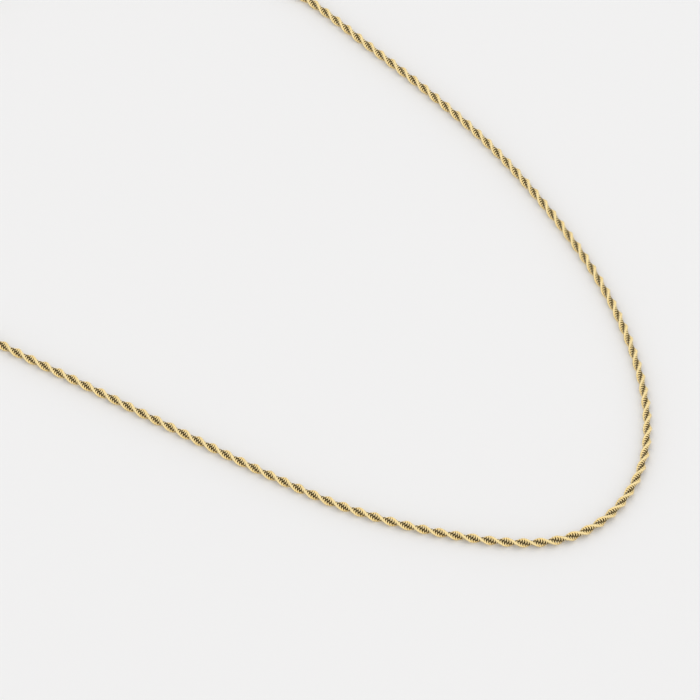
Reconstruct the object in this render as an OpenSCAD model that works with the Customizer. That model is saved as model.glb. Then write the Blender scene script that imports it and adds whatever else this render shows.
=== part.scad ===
// A gold rope chain necklace that lies closed on a flat surface.
// X runs along the clasp, Y from the front of the loop back to the clasp, and Z up from the surface.
// The origin is on the surface, in the middle of the loop.

/* [Rope] */
// Diameter of the rope
rope_d = 2; // [1.8:0.1:2.2]

/* [End caps] */
// Length of the cup that holds a rope end
cap_length = 4; // [3:0.5:6]
// Thickness of the cup's wall
cap_wall = 0.25; // [0.2:0.05:0.4]
// Thickness of the cup's closed end
cap_floor = 0.6; // [0.4:0.1:1]

/* [Rings] */
// Thickness of the wire in the jump rings and the eyes
link_wire_d = 0.6; // [0.5:0.05:0.6]
// Diameter of a jump ring, measured at the middle of its wire
jump_ring_d = 2.8; // [2.8:0.1:3.2]
// Diameter of an eye, measured at the middle of its wire
eye_d = 1.8; // [1.8:0.1:2.2]

/* [Clasp] */
// Thickness of the clasp's ring
clasp_wire_d = 1; // [0.8:0.1:1.1]
// Diameter of the clasp, measured at the middle of its ring
clasp_ring_d = 5.2; // [5:0.2:8]
// Diameter of the thumb knob
knob_d = 0.7; // [0.5:0.1:0.9]
// How far the thumb knob stands out of the ring
knob_height = 0.7; // [0.5:0.1:1]
// Where the thumb knob sits round the ring, in degrees from the right-hand side
knob_angle = 55; // [40:5:140]

/* [Hidden] */

gold = [0.83, 0.69, 0.39];

// Clearances: between rope and cup, and at the rope's end
cap_fit = 0.07;
end_gap = 0.1;
// Play along X of a jump ring on an eye, and on the clasp's ring
link_play = 0.2;
clasp_play = 0.25;
// How deep one part of a soldered piece sinks into the next
weld = 0.2;
// Broken edges of a cup, at its closed end and at its mouth
cap_shoulder = 0.3;
cap_lip = 0.08;

// The rope has flat sides, so that it rests on one of them
rope_sides = 8;
rope_rings = 80;
rope_r = rope_d / 2;
rope_corner_r = rope_r / cos(180 / rope_sides);

cap_bore_r = rope_corner_r + cap_fit;
cap_r = cap_bore_r + cap_wall;

link_wire_r = link_wire_d / 2;
jump_r = jump_ring_d / 2;
eye_r = eye_d / 2;
clasp_wire_r = clasp_wire_d / 2;
clasp_r = clasp_ring_d / 2;

// Heights: the cups lie on the surface and the jump rings stand on it
link_z = cap_r;
jump_z = jump_r + link_wire_r;

// Distances along X, from the middle of the clasp's ring outwards
clasp_to_jump = clasp_r + jump_r - clasp_wire_r - link_wire_r - clasp_play;
clasp_to_eye = clasp_r + clasp_wire_r - weld + eye_r;
jump_to_eye = jump_r + eye_r - 2 * link_wire_r - link_play;
eye_to_cup = eye_r + link_wire_r - weld;
right_cup = clasp_to_jump + jump_to_eye + eye_to_cup;
left_cup = clasp_to_eye + 2 * jump_to_eye + eye_to_cup;

// The clasp is set off the middle, so that both cups are equally far from it
cup_x = (left_cup + right_cup) / 2;
clasp_x = (left_cup - right_cup) / 2;
clasp_y = 96.5;
mouth_x = cup_x + cap_length;
rope_end_x = cup_x + cap_floor + end_gap;

// Where the rope lies, from the right-hand cup round the front of the loop to the left-hand cup
route = [
    [mouth_x, clasp_y], [27, 93.5], [41, 85], [51, 72], [57, 55.5], [58.5, 38.5],
    [56, 19], [53, -1], [49, -20], [42.5, -39.5], [34, -58.5], [23.5, -75],
    [11.5, -88], [-1, -96], [-14, -98.5], [-25, -95.5], [-33.5, -87], [-42, -70.5],
    [-47.5, -53.5], [-50.5, -35], [-53, -12.5], [-55, 6.5], [-57.5, 28.5],
    [-58.5, 47], [-55, 64], [-44.5, 80], [-28, 92.5], [-mouth_x, clasp_y]
];
spans = len(route) - 1;

// A guide point before the first and after the last makes the rope leave each cup straight along X
mouth_reach = 32;
guided_route = concat(
    [[route[1][0] - mouth_reach, route[1][1]]],
    route,
    [[route[spans - 1][0] + mouth_reach, route[spans - 1][1]]]
);

// A smooth curve through the middle two of four points; u runs from 0 to 1 between them
function curve_point(a, b, c, d, u) =
    (2 * b + (c - a) * u + (2 * a - 5 * b + 4 * c - d) * u * u + (3 * b - a - 3 * c + d) * u * u * u) / 2;

// The direction of that curve
function curve_slope(a, b, c, d, u) =
    ((c - a) + 2 * (2 * a - 5 * b + 4 * c - d) * u + 3 * (3 * b - a - 3 * c + d) * u * u) / 2;

// An S-shaped step from 0 to 1
function smooth_step(u) = u * u * (3 - 2 * u);

// Height of the rope's axis at t spans along the route: it rises into the cups at both ends
function axis_height(t) =
    let (from_end = min(t, spans - t, 1))
    rope_r + (link_z - rope_r) * (1 - smooth_step(from_end));

// One place on the route: the axis point and the level direction across the rope
function station(t) =
    let (
        i = min(floor(t), spans - 1),
        a = guided_route[i],
        b = guided_route[i + 1],
        c = guided_route[i + 2],
        d = guided_route[i + 3],
        middle = curve_point(a, b, c, d, t - i),
        slope = curve_slope(a, b, c, d, t - i)
    )
    [[middle[0], middle[1], axis_height(t)], [slope[1], -slope[0], 0] / norm(slope)];

// The corners of the rope's section at one place
function section_points(place) = [
    for (k = [0 : rope_sides - 1])
        let (angle = 360 * (k + 0.5) / rope_sides)
        place[0] + rope_corner_r * (cos(angle) * place[1] + [0, 0, sin(angle)])
];

// All places: one in the bottom of each cup, and the rest spread along the route between the mouths
open_rings = rope_rings - 2;
places = concat(
    [[[rope_end_x, clasp_y, link_z], [0, -1, 0]]],
    [for (i = [0 : open_rings - 1]) station(spans * i / (open_rings - 1))],
    [[[-rope_end_x, clasp_y, link_z], [0, -1, 0]]]
);

// A tube through rings of points, closed at both ends
module tube(rings, sides) {
    last = len(rings) - 1;
    polyhedron(
        points = [for (ring = rings) for (corner = ring) corner],
        faces = concat(
            [[for (k = [0 : sides - 1]) sides - 1 - k]],
            [
                for (i = [0 : last - 1])
                    for (k = [0 : sides - 1])
                        let (next = (k + 1) % sides)
                        [i * sides + k, i * sides + next, (i + 1) * sides + next, (i + 1) * sides + k]
            ],
            [[for (k = [0 : sides - 1]) last * sides + k]]
        )
    );
}

// A round wire ring that lies flat
module wire_ring(ring_r, wire_r) {
    rotate_extrude($fn = 96)
        translate([ring_r, 0])
            circle(r = wire_r, $fn = 48);
}

module rope_chain() {
    color(gold)
        tube([for (place = places) section_points(place)], rope_sides);
}

// A cup along +X with a flat eye soldered to its closed end; the eye's middle is at the origin
module end_cap() {
    color(gold)
        union() {
            wire_ring(eye_r, link_wire_r);
            translate([eye_to_cup, 0, 0])
                rotate([0, 90, 0])
                    rotate_extrude($fn = 96)
                        polygon([
                            [0, 0],
                            [cap_r - cap_shoulder, 0],
                            [cap_r, cap_shoulder],
                            [cap_r, cap_length - cap_lip],
                            [cap_r - cap_lip, cap_length],
                            [cap_bore_r, cap_length],
                            [cap_bore_r, cap_floor],
                            [0, cap_floor]
                        ]);
        }
}

module end_cap_left() {
    translate([eye_to_cup - cup_x, clasp_y, link_z])
        rotate([0, 0, 180])
            end_cap();
}

module end_cap_right() {
    translate([cup_x - eye_to_cup, clasp_y, link_z])
        end_cap();
}

// A jump ring that stands on the surface, with the clasp's axis through it
module jump_ring(x) {
    color(gold)
        translate([x, clasp_y, jump_z])
            rotate([90, 0, 0])
                wire_ring(jump_r, link_wire_r);
}

module jump_ring_left() {
    jump_ring(clasp_x - clasp_to_eye - jump_to_eye);
}

module jump_ring_right() {
    jump_ring(clasp_x + clasp_to_jump);
}

// The clasp is one piece: a thick ring, an eye soldered to its left side, and a thumb knob
module clasp() {
    color(gold)
        translate([clasp_x, clasp_y, link_z])
            union() {
                wire_ring(clasp_r, clasp_wire_r);
                translate([-clasp_to_eye, 0, 0])
                    wire_ring(eye_r, link_wire_r);
                rotate([0, 0, knob_angle])
                    translate([clasp_r, 0, 0])
                        rotate([0, 90, 0])
                            cylinder(r = knob_d / 2, h = clasp_wire_r + knob_height, $fn = 48);
            }
}

rope_chain();
end_cap_left();
end_cap_right();
jump_ring_left();
jump_ring_right();
clasp();
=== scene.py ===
# %% [markdown]
# # A gold rope chain
#
# A rope chain looks like two strands twisted together, but it is made from small round rings. Each ring
# passes through the one before it, on the other side of the chain, and each pair is turned a little further
# round. The necklace lies closed on a pale table, and the camera looks down at it through a long lens.
#
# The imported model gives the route, the end cups, the jump rings and the clasp. This script keeps those, puts
# real rings in the place of the plain rope, and gives everything its finish and its light.

import math

import bpy
import numpy as np
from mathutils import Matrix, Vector


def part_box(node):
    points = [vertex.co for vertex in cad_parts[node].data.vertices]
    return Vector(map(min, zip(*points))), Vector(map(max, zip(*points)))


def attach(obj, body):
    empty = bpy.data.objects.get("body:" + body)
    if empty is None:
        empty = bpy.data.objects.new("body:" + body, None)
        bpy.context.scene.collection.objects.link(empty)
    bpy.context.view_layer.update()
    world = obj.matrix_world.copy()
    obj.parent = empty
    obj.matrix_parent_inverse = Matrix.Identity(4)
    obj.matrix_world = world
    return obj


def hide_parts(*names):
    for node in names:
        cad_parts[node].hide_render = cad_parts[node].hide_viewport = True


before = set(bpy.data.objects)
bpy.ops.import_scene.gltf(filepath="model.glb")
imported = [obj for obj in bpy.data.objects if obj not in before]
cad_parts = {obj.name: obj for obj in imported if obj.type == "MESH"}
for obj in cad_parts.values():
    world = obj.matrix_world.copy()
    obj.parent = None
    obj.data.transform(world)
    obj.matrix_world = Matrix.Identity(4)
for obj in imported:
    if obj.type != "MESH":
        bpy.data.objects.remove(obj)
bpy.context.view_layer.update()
MM = 0.001
print("nodes:", sorted(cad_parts))

# %% [markdown]
# ## Where the camera stands
#
# A jewellery picture is taken from far away with a long lens, so that near and far links look the same size.
# The camera is placed by what it looks at, how high it stands, from which side, and how far off. Working with
# angles is easier than guessing a position, because each angle can be changed alone.

# %% Camera
LOOK_AT = Vector((-13.5, -29.5, 0)) * MM
SIDE_ANGLE = math.radians(-52.5)
HEIGHT_ANGLE = math.radians(51.64)
CAMERA_DISTANCE = 1143 * MM
# Focal length and sensor width, in millimetres as a lens is labelled
LENS = 280
SENSOR = 36
NEAREST = 10 * MM


def direction(side, height):
    """Unit vector: side turns round Z from the front, height lifts it above the table."""
    level = math.cos(height)
    return Vector((math.sin(side) * level, -math.cos(side) * level, math.sin(height)))


def aim(thing, place, target):
    """Puts a camera or a light at a place, with its -Z axis towards the target."""
    thing.location = place
    thing.rotation_euler = (target - place).to_track_quat("-Z", "Y").to_euler()


camera_data = bpy.data.cameras.new("camera")
camera_data.lens = LENS
camera_data.sensor_width = SENSOR
camera_data.clip_start = NEAREST
camera = bpy.data.objects.new("camera", camera_data)
bpy.context.scene.collection.objects.link(camera)
aim(camera, LOOK_AT + CAMERA_DISTANCE * direction(SIDE_ANGLE, HEIGHT_ANGLE), LOOK_AT)
bpy.context.scene.camera = camera
print("camera at", [round(v, 3) for v in camera.location], "m")

# %% [markdown]
# ## The route of the rope
#
# The rope lies in one long bend. It could be drawn as a Blender curve, but every ring needs its own place and
# direction, so the curve is worked out as arrays. A Catmull-Rom curve passes through each of its points, and
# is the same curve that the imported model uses. The points are in millimetres on the table, from the
# right-hand cup round the front to the left-hand one.

# %% Points on the table
ROPE_D = 2.0 * MM
ROPE_R = ROPE_D / 2
CAP_LENGTH = 4 * MM
# The closed end of a cup and the small gap between it and the rope's end
CAP_END = 0.7 * MM

cup_low, cup_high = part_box("end_cap_right")
MOUTH_X = cup_high.x
CLASP_Y = (cup_low.y + cup_high.y) / 2
CUP_Z = (cup_low.z + cup_high.z) / 2
ROPE_END_X = MOUTH_X - CAP_LENGTH + CAP_END
# How far off the extra points stand that make the rope leave each cup straight
MOUTH_REACH = 32 * MM

OPEN_ROUTE = np.array([
    [27, 93.5], [41, 85], [51, 72], [57, 55.5], [58.5, 38.5], [56, 19], [53, -1], [49, -20],
    [42.5, -39.5], [34, -58.5], [23.5, -75], [11.5, -88], [-1, -96], [-14, -98.5], [-25, -95.5],
    [-33.5, -87], [-42, -70.5], [-47.5, -53.5], [-50.5, -35], [-53, -12.5], [-55, 6.5],
    [-57.5, 28.5], [-58.5, 47], [-55, 64], [-44.5, 80], [-28, 92.5],
]) * MM
ROUTE = np.vstack([[MOUTH_X, CLASP_Y], OPEN_ROUTE, [-MOUTH_X, CLASP_Y]])
SPANS = len(ROUTE) - 1
GUIDED_ROUTE = np.vstack([
    ROUTE[1] - [MOUTH_REACH, 0],
    ROUTE,
    ROUTE[-2] + [MOUTH_REACH, 0],
])
print("spans:", SPANS, "mouths at x = +-", round(MOUTH_X / MM, 3), "mm")


def smooth_step(u):
    """An S-shaped step from 0 to 1: three times u squared less twice u cubed."""
    return u * u * (3 - 2 * u)


def route_point(t):
    """Point t spans along the route. Between two route points it is the cubic whose slope at each of them is
    half the way from the point before to the point after. Near each end the axis rises into the cup."""
    i = np.minimum(np.floor(t).astype(int), SPANS - 1)
    u = (t - i)[:, None]
    a, b, c, d = (GUIDED_ROUTE[i + k] for k in range(4))
    straight = 2 * b + (c - a) * u
    bend = (2 * a - 5 * b + 4 * c - d) * u**2
    twist = (3 * b - a - 3 * c + d) * u**3
    level = (straight + bend + twist) / 2
    from_end = np.minimum(np.minimum(t, SPANS - t), 1)
    height = ROPE_R + (CUP_Z - ROPE_R) * (1 - smooth_step(from_end))
    return np.column_stack([level, height])


# %% The rope's axis, measured by length
STEPS_PER_SPAN = 200
CUP_STEPS = 20
REACH = 0.2 * MM

run_in = np.column_stack([
    np.linspace(ROPE_END_X, MOUTH_X, CUP_STEPS, endpoint=False),
    np.full(CUP_STEPS, CLASP_Y),
    np.full(CUP_STEPS, CUP_Z),
])
open_axis = route_point(np.linspace(0, SPANS, SPANS * STEPS_PER_SPAN + 1))
run_out = run_in[::-1] * [-1, 1, 1]
axis_points = np.vstack([run_in, open_axis, run_out])
step_lengths = np.linalg.norm(np.diff(axis_points, axis=0), axis=1)
axis_lengths = np.concatenate([[0], np.cumsum(step_lengths)])
ROPE_LENGTH = axis_lengths[-1]
print("rope length:", round(ROPE_LENGTH / MM, 1), "mm")


def rope_place(length):
    """Axis points and their three unit directions at given lengths: along the rope, level to its left, and
    up. The axis is read off by linear steps between close points, and the direction is that of the line from
    REACH before the point to REACH after it."""

    def point(s):
        return np.column_stack([np.interp(s, axis_lengths, axis_points[:, k]) for k in range(3)])

    ahead = point(np.minimum(length + REACH, ROPE_LENGTH))
    behind = point(np.maximum(length - REACH, 0))
    along = ahead - behind
    along /= np.linalg.norm(along, axis=1, keepdims=True)
    left = np.cross([0, 0, 1], along)
    left /= np.linalg.norm(left, axis=1, keepdims=True)
    return point(length), along, left, np.cross(along, left)


# %% [markdown]
# ## One ring, and how it repeats
#
# Each ring lies to one side of the rope's axis, with its plane leaning forward. The next ring is a little
# further on, on the other side, and turned by half a turn and a bit more. So the whole chain needs one ring
# and one screw motion. The bit more than half a turn, added up over fourteen rings, makes the two strands
# change places, and that is the twist the eye sees.
#
# The sizes were found by trying. Rings that lean little make long slanting stripes, and rings that lean far
# leave narrow waists in the rope. Here thick wire, small rings well off the axis and a lean of less than half
# a right angle give one short hollow in each half turn, with bright crests round it.
#
# That look has a price. The wire is thicker than real links could have, so wires of rings that are one, two
# or three places apart sink into each other by up to 0.2 mm, inside the rope and along its crests. With
# 0.25 mm wire, an offset of 0.26 mm, a lean of 30 degrees and no tilt the rings stay linked and overlap by
# less than 0.01 mm, but the hollows become long dark stripes.

# %% Ring sizes
WIRE_D = 0.36 * MM
RING_OFFSET = -0.31 * MM
RING_R = ROPE_R - abs(RING_OFFSET) - WIRE_D / 2
LEAN = math.radians(40)
TILT = math.radians(-5)
LINK_STEP = 0.2464 * MM
LINKS_PER_HALF_TURN = 14
TURN = math.pi + math.pi / LINKS_PER_HALF_TURN

# Sides of the meshed ring, of its wire, and of each face
RING_SIDES = 16
WIRE_SIDES = 6
FACE_SIDES = 4


def ring_shape():
    """A torus as a grid, in the rope's own directions: along, left, up. Its middle stands RING_OFFSET to the
    left, so a negative offset puts it on the right. The normal of its plane leans by LEAN from the rope's
    direction towards up and by TILT to the left. A ring that would stick out of the rope is made smaller.
    Gives the points and the direction in which the wire's surface looks at each of them."""
    level = math.cos(TILT)
    normal = np.array([math.cos(LEAN) * level, math.sin(TILT), math.sin(LEAN) * level])
    left = np.array([0.0, 1.0, 0.0])
    across = left - normal * (left @ normal)
    across /= np.linalg.norm(across)
    slope = np.cross(normal, across)
    round_ring = np.arange(RING_SIDES) * 2 * np.pi / RING_SIDES
    round_wire = np.arange(WIRE_SIDES) * 2 * np.pi / WIRE_SIDES
    ring, wire = np.meshgrid(round_ring, round_wire, indexing="ij")
    out = np.cos(ring)[..., None] * across + np.sin(ring)[..., None] * slope
    surface = np.cos(wire)[..., None] * out + np.sin(wire)[..., None] * normal
    points = RING_OFFSET * left + RING_R * out + WIRE_D / 2 * surface
    farthest = np.hypot(points[..., 1], points[..., 2]).max()
    return points * min(1, ROPE_R / farthest), surface


def grid_faces(count):
    """Quads of a closed grid, for a number of rings one after the other."""
    i, j = np.meshgrid(np.arange(RING_SIDES), np.arange(WIRE_SIDES), indexing="ij")
    i2 = (i + 1) % RING_SIDES
    j2 = (j + 1) % WIRE_SIDES
    corners = [i * WIRE_SIDES + j, i2 * WIRE_SIDES + j, i2 * WIRE_SIDES + j2, i * WIRE_SIDES + j2]
    one = np.stack(corners, axis=-1).reshape(-1, FACE_SIDES)
    first = np.arange(count)[:, None, None] * RING_SIDES * WIRE_SIDES
    return (one[None] + first).reshape(-1, FACE_SIDES)


def links(numbers):
    """Points of the rings with these numbers. Ring k is turned k times TURN round the axis and moved on by
    k times LINK_STEP; its three coordinates then go along the rope's own directions there. Gives as well
    each point's distance from the axis, over the rope's radius, and its facing: 1 where the wire's surface
    looks straight away from the axis and -1 where it looks at the axis."""
    place, along, left, up = rope_place(FIRST_LINK + numbers * LINK_STEP)
    shape, surface = (grid.reshape(-1, 3) for grid in ring_shape())
    radius = np.hypot(shape[:, 1], shape[:, 2])
    facing = (surface[:, 1] * shape[:, 1] + surface[:, 2] * shape[:, 2]) / radius
    turn = (numbers * TURN)[:, None]
    sideways = shape[:, 1] * np.cos(turn) - shape[:, 2] * np.sin(turn)
    upwards = shape[:, 1] * np.sin(turn) + shape[:, 2] * np.cos(turn)
    onwards = np.broadcast_to(shape[:, 0], turn.shape[:1] + shape[:, 0].shape)
    points = place[:, None] + onwards[..., None] * along[:, None]
    points += sideways[..., None] * left[:, None] + upwards[..., None] * up[:, None]
    depth = np.broadcast_to(radius / ROPE_R, onwards.shape)
    return points, depth, np.broadcast_to(facing, onwards.shape)


one_ring = ring_shape()[0]
ring_reach = np.abs(one_ring[..., 0]).max()
outer = np.hypot(one_ring[..., 1], one_ring[..., 2]).max()
FIRST_LINK = ring_reach
LINK_COUNT = int((ROPE_LENGTH - 2 * ring_reach) / LINK_STEP) + 1
print("links:", LINK_COUNT, "rope diameter:", round(2 * outer / MM, 3), "mm")

# %% [markdown]
# ## From arrays to pieces
#
# The rings could be copies of one object, or come from an array modifier. Here they are one mesh for each
# half of the chain, filled straight from the arrays, because each ring follows the bend in its own way. Each
# point also keeps three numbers for the material: how far out it lies, which way it faces, and a random tone
# for its ring.

# %% Put points and faces into a mesh


def new_piece(name, points, faces):
    """A mesh object from an array of points and one of quads. Its object stays at the origin."""
    mesh = bpy.data.meshes.new(name)
    mesh.vertices.add(len(points))
    mesh.vertices.foreach_set("co", points.astype(np.float32).ravel())
    mesh.loops.add(faces.size)
    mesh.loops.foreach_set("vertex_index", faces.astype(np.int32).ravel())
    mesh.polygons.add(len(faces))
    mesh.polygons.foreach_set("loop_start", np.arange(len(faces), dtype=np.int32) * FACE_SIDES)
    mesh.update(calc_edges=True)
    mesh.validate()
    mesh.polygons.foreach_set("use_smooth", np.ones(len(faces), bool))
    piece = bpy.data.objects.new(name, mesh)
    bpy.context.scene.collection.objects.link(piece)
    return piece


def give_values(piece, name, values):
    """Stores one number for each point, under a name that a material can read."""
    layer = piece.data.attributes.new(name, "FLOAT", "POINT")
    layer.data.foreach_set("value", values.astype(np.float32).ravel())


# %% Two halves of the chain
SEED = 7

rope_pieces = []
half = LINK_COUNT // 2
dice = np.random.default_rng(SEED)
for name, numbers in (
    ("rope_links_right", np.arange(half)),
    ("rope_links_left", np.arange(half, LINK_COUNT)),
):
    points, depth, facing = links(numbers)
    piece = new_piece(name, points.reshape(-1, 3), grid_faces(len(numbers)))
    give_values(piece, "depth", depth)
    give_values(piece, "facing", facing)
    tone = np.repeat(dice.uniform(0, 1, len(numbers)), points.shape[1])
    give_values(piece, "tone", tone)
    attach(piece, "root")
    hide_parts("rope_chain")
    rope_pieces.append(piece)
    print(name, "has", len(numbers), "links and", 2 * len(piece.data.polygons), "triangles")

# %% [markdown]
# ## Maths in a material
#
# A material is a graph of small nodes. Written out one by one they hide the idea, so a small class wraps a
# socket: a plus or a minus between two of them adds the Math node for it.

# %% A socket that can do sums

# The Mix node has a set of sockets for each kind of value; these are its factor and its colour sockets
MIX_FACTOR = 0
MIX_FIRST = 6
MIX_SECOND = 7
MIX_RESULT = 2
# How far the highest bump stands out
BUMP_DEPTH = 0.01 * MM


class Wire:
    """An output socket. Arithmetic on it adds Math nodes; the reflected forms let a plain number stand
    first, as in 1 - mask."""

    def __init__(self, paint, socket):
        self.paint = paint
        self.socket = socket

    def math(self, operation, *values):
        """A Math node with the given operation on the given values, in that order."""
        return self.paint.add("ShaderNodeMath", {"operation": operation}, dict(enumerate(values)))

    def __add__(self, other):
        return self.math("ADD", self, other)

    def __sub__(self, other):
        return self.math("SUBTRACT", self, other)

    def __rsub__(self, other):
        return self.math("SUBTRACT", other, self)

    def __mul__(self, other):
        return self.math("MULTIPLY", self, other)

    __radd__ = __add__
    __rmul__ = __mul__


class Paint:
    """A material being made. add() puts in a node: its settings first, then its sockets' values or links."""

    def __init__(self, name):
        self.material = bpy.data.materials.new(name)
        self.material.use_nodes = True
        self.tree = self.material.node_tree
        self.tree.nodes.clear()

    def add(self, kind, settings=None, sockets=None, output=0):
        """A node of any kind. Gives its output with that number or name."""
        node = self.tree.nodes.new(kind)
        for name, value in (settings or {}).items():
            setattr(node, name, value)
        for name, value in (sockets or {}).items():
            if isinstance(value, Wire):
                self.tree.links.new(value.socket, node.inputs[name])
            else:
                node.inputs[name].default_value = value
        return Wire(self, node.outputs[output])

    def value(self, name):
        """A number that the mesh holds at each point, by its name."""
        return self.add("ShaderNodeAttribute", {"attribute_name": name}, output="Fac")

    def between(self, low, high, value):
        """0 where the value is at low, 1 where it is at high, and a smooth step between them."""
        sockets = {"Value": value, "From Min": low, "From Max": high}
        return self.add("ShaderNodeMapRange", {"interpolation_type": "SMOOTHSTEP"}, sockets)

    def blend(self, first, second, factor):
        """The first colour where the factor is 0, the second where it is 1."""
        sockets = {MIX_FACTOR: factor, MIX_FIRST: first, MIX_SECOND: second}
        return self.add("ShaderNodeMix", {"data_type": "RGBA"}, sockets, output=MIX_RESULT)

    def noise(self, size, detail=2.0):
        """Soft noise from 0 to 1 whose patches are about this many metres across."""
        place = self.add("ShaderNodeTexCoord", output="Object")
        sockets = {"Vector": place, "Scale": 1 / size, "Detail": detail}
        return self.add("ShaderNodeTexNoise", None, sockets)

    def bumps(self, height, strength):
        """A normal that rises and falls with the height, by at most BUMP_DEPTH."""
        sockets = {"Strength": strength, "Distance": BUMP_DEPTH, "Height": height}
        return self.add("ShaderNodeBump", None, sockets)

    def finish(self, **sockets):
        """The surface shader, with constants and fields on its own sockets: base_color means Base Color."""
        named = {name.replace("_", " ").title(): value for name, value in sockets.items()}
        surface = self.add("ShaderNodeBsdfPrincipled", None, named)
        out = self.tree.nodes.new("ShaderNodeOutputMaterial")
        self.tree.links.new(surface.socket, out.inputs["Surface"])
        return self.material


# %% [markdown]
# ## Gold
#
# The rings are gold-plated wire, smoother on the crests. The hollows between the strands get painted shade,
# dark and brown, and the crests stay bright gold. Real shadow alone leaves the hollows far too pale in this
# bright room. The painted shade could be a picture, but one this fine would be very large. So it comes from
# the numbers that each point keeps: the colour goes from the painted shade to gold as the point lies further
# out.
#
# The cups, the jump rings and the clasp are the same gold. They are smooth, with faintly rubbed patches.

# %% Gold for the rings


def shade_of(colour, factor):
    """The colour times a factor, at most 1 in each channel, with full cover."""
    return (*(min(1, factor * part) for part in colour), 1)


# Distance from the axis, over the rope's radius, up to which the wire gets painted shade and from which it is
# plain gold
DEEP = 0.42
CREST = 0.585
# The same for the facing, where painted shade falls on the sides of the wires that look at the axis. It runs
# from -1 to 1, so the facing alone never paints a wire fully dark
INNER = -1.2
OUTER = -0.6
GOLD = (1.0, 0.805, 0.42)
# Painted shade for the hollows of the rope and the inner sides of the wires
PAINTED_SHADE = (0.065, 0.037, 0.009)
# Darkest and palest ring, times GOLD
RING_TONES = (0.95, 1.0)
# Roughness of the crests, what the hollows add to it, and what a ring's tone adds
SHINE = 0.15
DULLER = 0.2
TONE_ROUGH = 0.04
RING_GRAIN = 0.08 * MM
RING_BUMP = 0.15


def rope_gold():
    """Gold that is smoother on the crests. Painted shade makes the metal darker and browner in the depth of
    the rope, and on the sides of the wires that look at the axis; there it is also duller."""
    paint = Paint("rope_gold")
    depth = paint.value("depth")
    tone = paint.value("tone")
    facing = paint.value("facing")
    # 1 out of the painted shade and 0 in it: painted shade deep in the rope and on wire sides that face the
    #                                         axis; the same mask makes the crests smoother
    polished_out_of_painted_shade = paint.between(DEEP, CREST, depth) * paint.between(INNER, OUTER, facing)
    first, second = (shade_of(GOLD, factor) for factor in RING_TONES)
    bright = paint.blend(first, second, tone)
    # The painted shade where the mask is low, the ring's gold where it is high
    colour = paint.blend(shade_of(PAINTED_SHADE, 1), bright, polished_out_of_painted_shade)
    rough = SHINE + DULLER - DULLER * polished_out_of_painted_shade + TONE_ROUGH * tone
    bump = paint.bumps(paint.noise(RING_GRAIN), RING_BUMP)
    return paint.finish(base_color=colour, metallic=1.0, roughness=rough, normal=bump)


# %% Gold for the cups, the jump rings and the clasp
FITTING_TONES = (0.7, 0.94)
FITTING_SHINE = 0.16
FITTING_DULLER = 0.14
PATCH_SIZE = 0.9 * MM
PATCH_DETAIL = 4
FITTING_GRAIN = 0.07 * MM
FITTING_BUMP = 0.12


def fitting_gold():
    """Polished gold with faint rubbed patches and a very fine grain."""
    paint = Paint("fitting_gold")
    patches = paint.noise(PATCH_SIZE, PATCH_DETAIL)
    fine = paint.noise(FITTING_GRAIN)
    first, second = (shade_of(GOLD, factor) for factor in FITTING_TONES)
    colour = paint.blend(first, second, patches)
    rough = FITTING_SHINE + FITTING_DULLER * patches
    bump = paint.bumps(fine, FITTING_BUMP)
    return paint.finish(base_color=colour, metallic=1.0, roughness=rough, normal=bump)


def dress(piece, material):
    """Gives a piece one material in its first slot."""
    piece.data.materials.clear()
    piece.data.materials.append(material)


rope_material = rope_gold()
for piece in rope_pieces:
    dress(piece, rope_material)
fitting_material = fitting_gold()
for name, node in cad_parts.items():
    if name != "rope_chain":
        dress(node, fitting_material)
print("materials:", [material.name for material in bpy.data.materials])

# %% [markdown]
# ## The table and the light
#
# Gold has hardly any colour of its own in the dark: it shows what it mirrors. So the room is pale all round
# and does most of the lighting. A pale table fills the lower side of the wires, and a weak, broad light from
# behind lays a faint soft shadow in front of the rope. The light could also come from a picture of a studio
# wrapped round the scene, but a few numbers are easier to change.

# %% Table
FLOOR_SIZE = 6.0
FLOOR_ROUGH = 0.7
FLOOR_DARK = (0.875, 0.873, 0.873, 1)
FLOOR_PALE = (0.889, 0.887, 0.887, 1)
CLOUD_SIZE = 180 * MM
CLOUD_DETAIL = 2


def table_paint():
    """Matt near-white, with a very faint unevenness."""
    paint = Paint("table")
    cloud = paint.noise(CLOUD_SIZE, CLOUD_DETAIL)
    colour = paint.blend(FLOOR_DARK, FLOOR_PALE, cloud)
    return paint.finish(base_color=colour, roughness=FLOOR_ROUGH)


side = FLOOR_SIZE / 2
corners = np.array([[-side, -side, 0], [side, -side, 0], [side, side, 0], [-side, side, 0]])
table = new_piece("table", corners, np.array([[0, 1, 2, 3]]))
dress(table, table_paint())
print("table:", FLOOR_SIZE, "m square")

# %% A light from behind
BACK_SIDE = math.radians(150)
BACK_HEIGHT = math.radians(62)
BACK_DISTANCE = 1.6
BACK_WIDTH = 1.6
BACK_DEPTH = 1.2
BACK_POWER = 1
BACK_COLOUR = (1.0, 0.985, 0.96)

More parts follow.
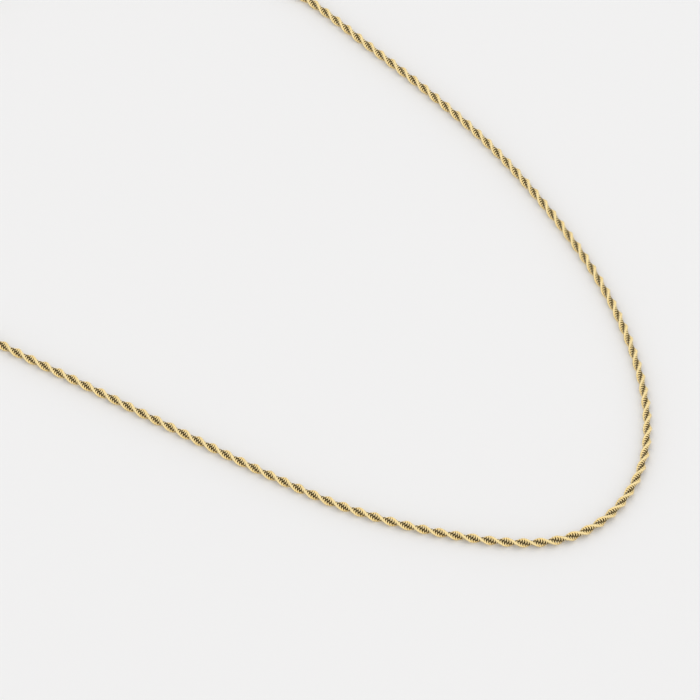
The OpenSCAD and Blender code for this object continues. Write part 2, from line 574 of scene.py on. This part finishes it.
softbox_data = bpy.data.lights.new("softbox_back", "AREA")
softbox_data.shape = "RECTANGLE"
softbox_data.size = BACK_WIDTH
softbox_data.size_y = BACK_DEPTH
softbox_data.energy = BACK_POWER
softbox_data.color = BACK_COLOUR
softbox = bpy.data.objects.new("softbox_back", softbox_data)
bpy.context.scene.collection.objects.link(softbox)
aim(softbox, BACK_DISTANCE * direction(BACK_SIDE, BACK_HEIGHT), Vector((0, 0, 0)))
print("softbox:", BACK_WIDTH, "by", BACK_DEPTH, "m,", BACK_POWER, "W")

# %% The room
ROOM_LIGHT = 0.95
FRONT_GAIN = 1.05
ROOM_COLOUR = (1.0, 0.998, 0.996, 1)
# The brighter side is at the camera's side angle and this high
FRONT_HEIGHT = math.radians(35)
# Cosines of the angle from that direction at which the room is plain, and at which it has its full gain
PLAIN_FROM = 0.35
FULL_FROM = 0.9


def room():
    """A pale room that is a little brighter on the camera's side. Its light changes smoothly with the cosine
    of the angle between where a ray goes and the middle of that side."""
    world = bpy.data.worlds.new("room")
    world.use_nodes = True
    tree = world.node_tree
    background = tree.nodes["Background"]
    place = tree.nodes.new("ShaderNodeTexCoord")
    dot = tree.nodes.new("ShaderNodeVectorMath")
    dot.operation = "DOT_PRODUCT"
    dot.inputs[1].default_value = direction(SIDE_ANGLE, FRONT_HEIGHT)
    ramp = tree.nodes.new("ShaderNodeMapRange")
    ramp.interpolation_type = "SMOOTHSTEP"
    ramp.inputs["From Min"].default_value = PLAIN_FROM
    ramp.inputs["From Max"].default_value = FULL_FROM
    ramp.inputs["To Min"].default_value = ROOM_LIGHT
    ramp.inputs["To Max"].default_value = ROOM_LIGHT * FRONT_GAIN
    tree.links.new(place.outputs["Generated"], dot.inputs[0])
    tree.links.new(dot.outputs["Value"], ramp.inputs["Value"])
    tree.links.new(ramp.outputs["Result"], background.inputs["Strength"])
    background.inputs["Color"].default_value = ROOM_COLOUR
    return world


bpy.context.scene.world = room()
bpy.context.scene.view_settings.view_transform = "Standard"
print("room light:", ROOM_LIGHT, "and", round(ROOM_LIGHT * FRONT_GAIN, 3), "on the camera's side")
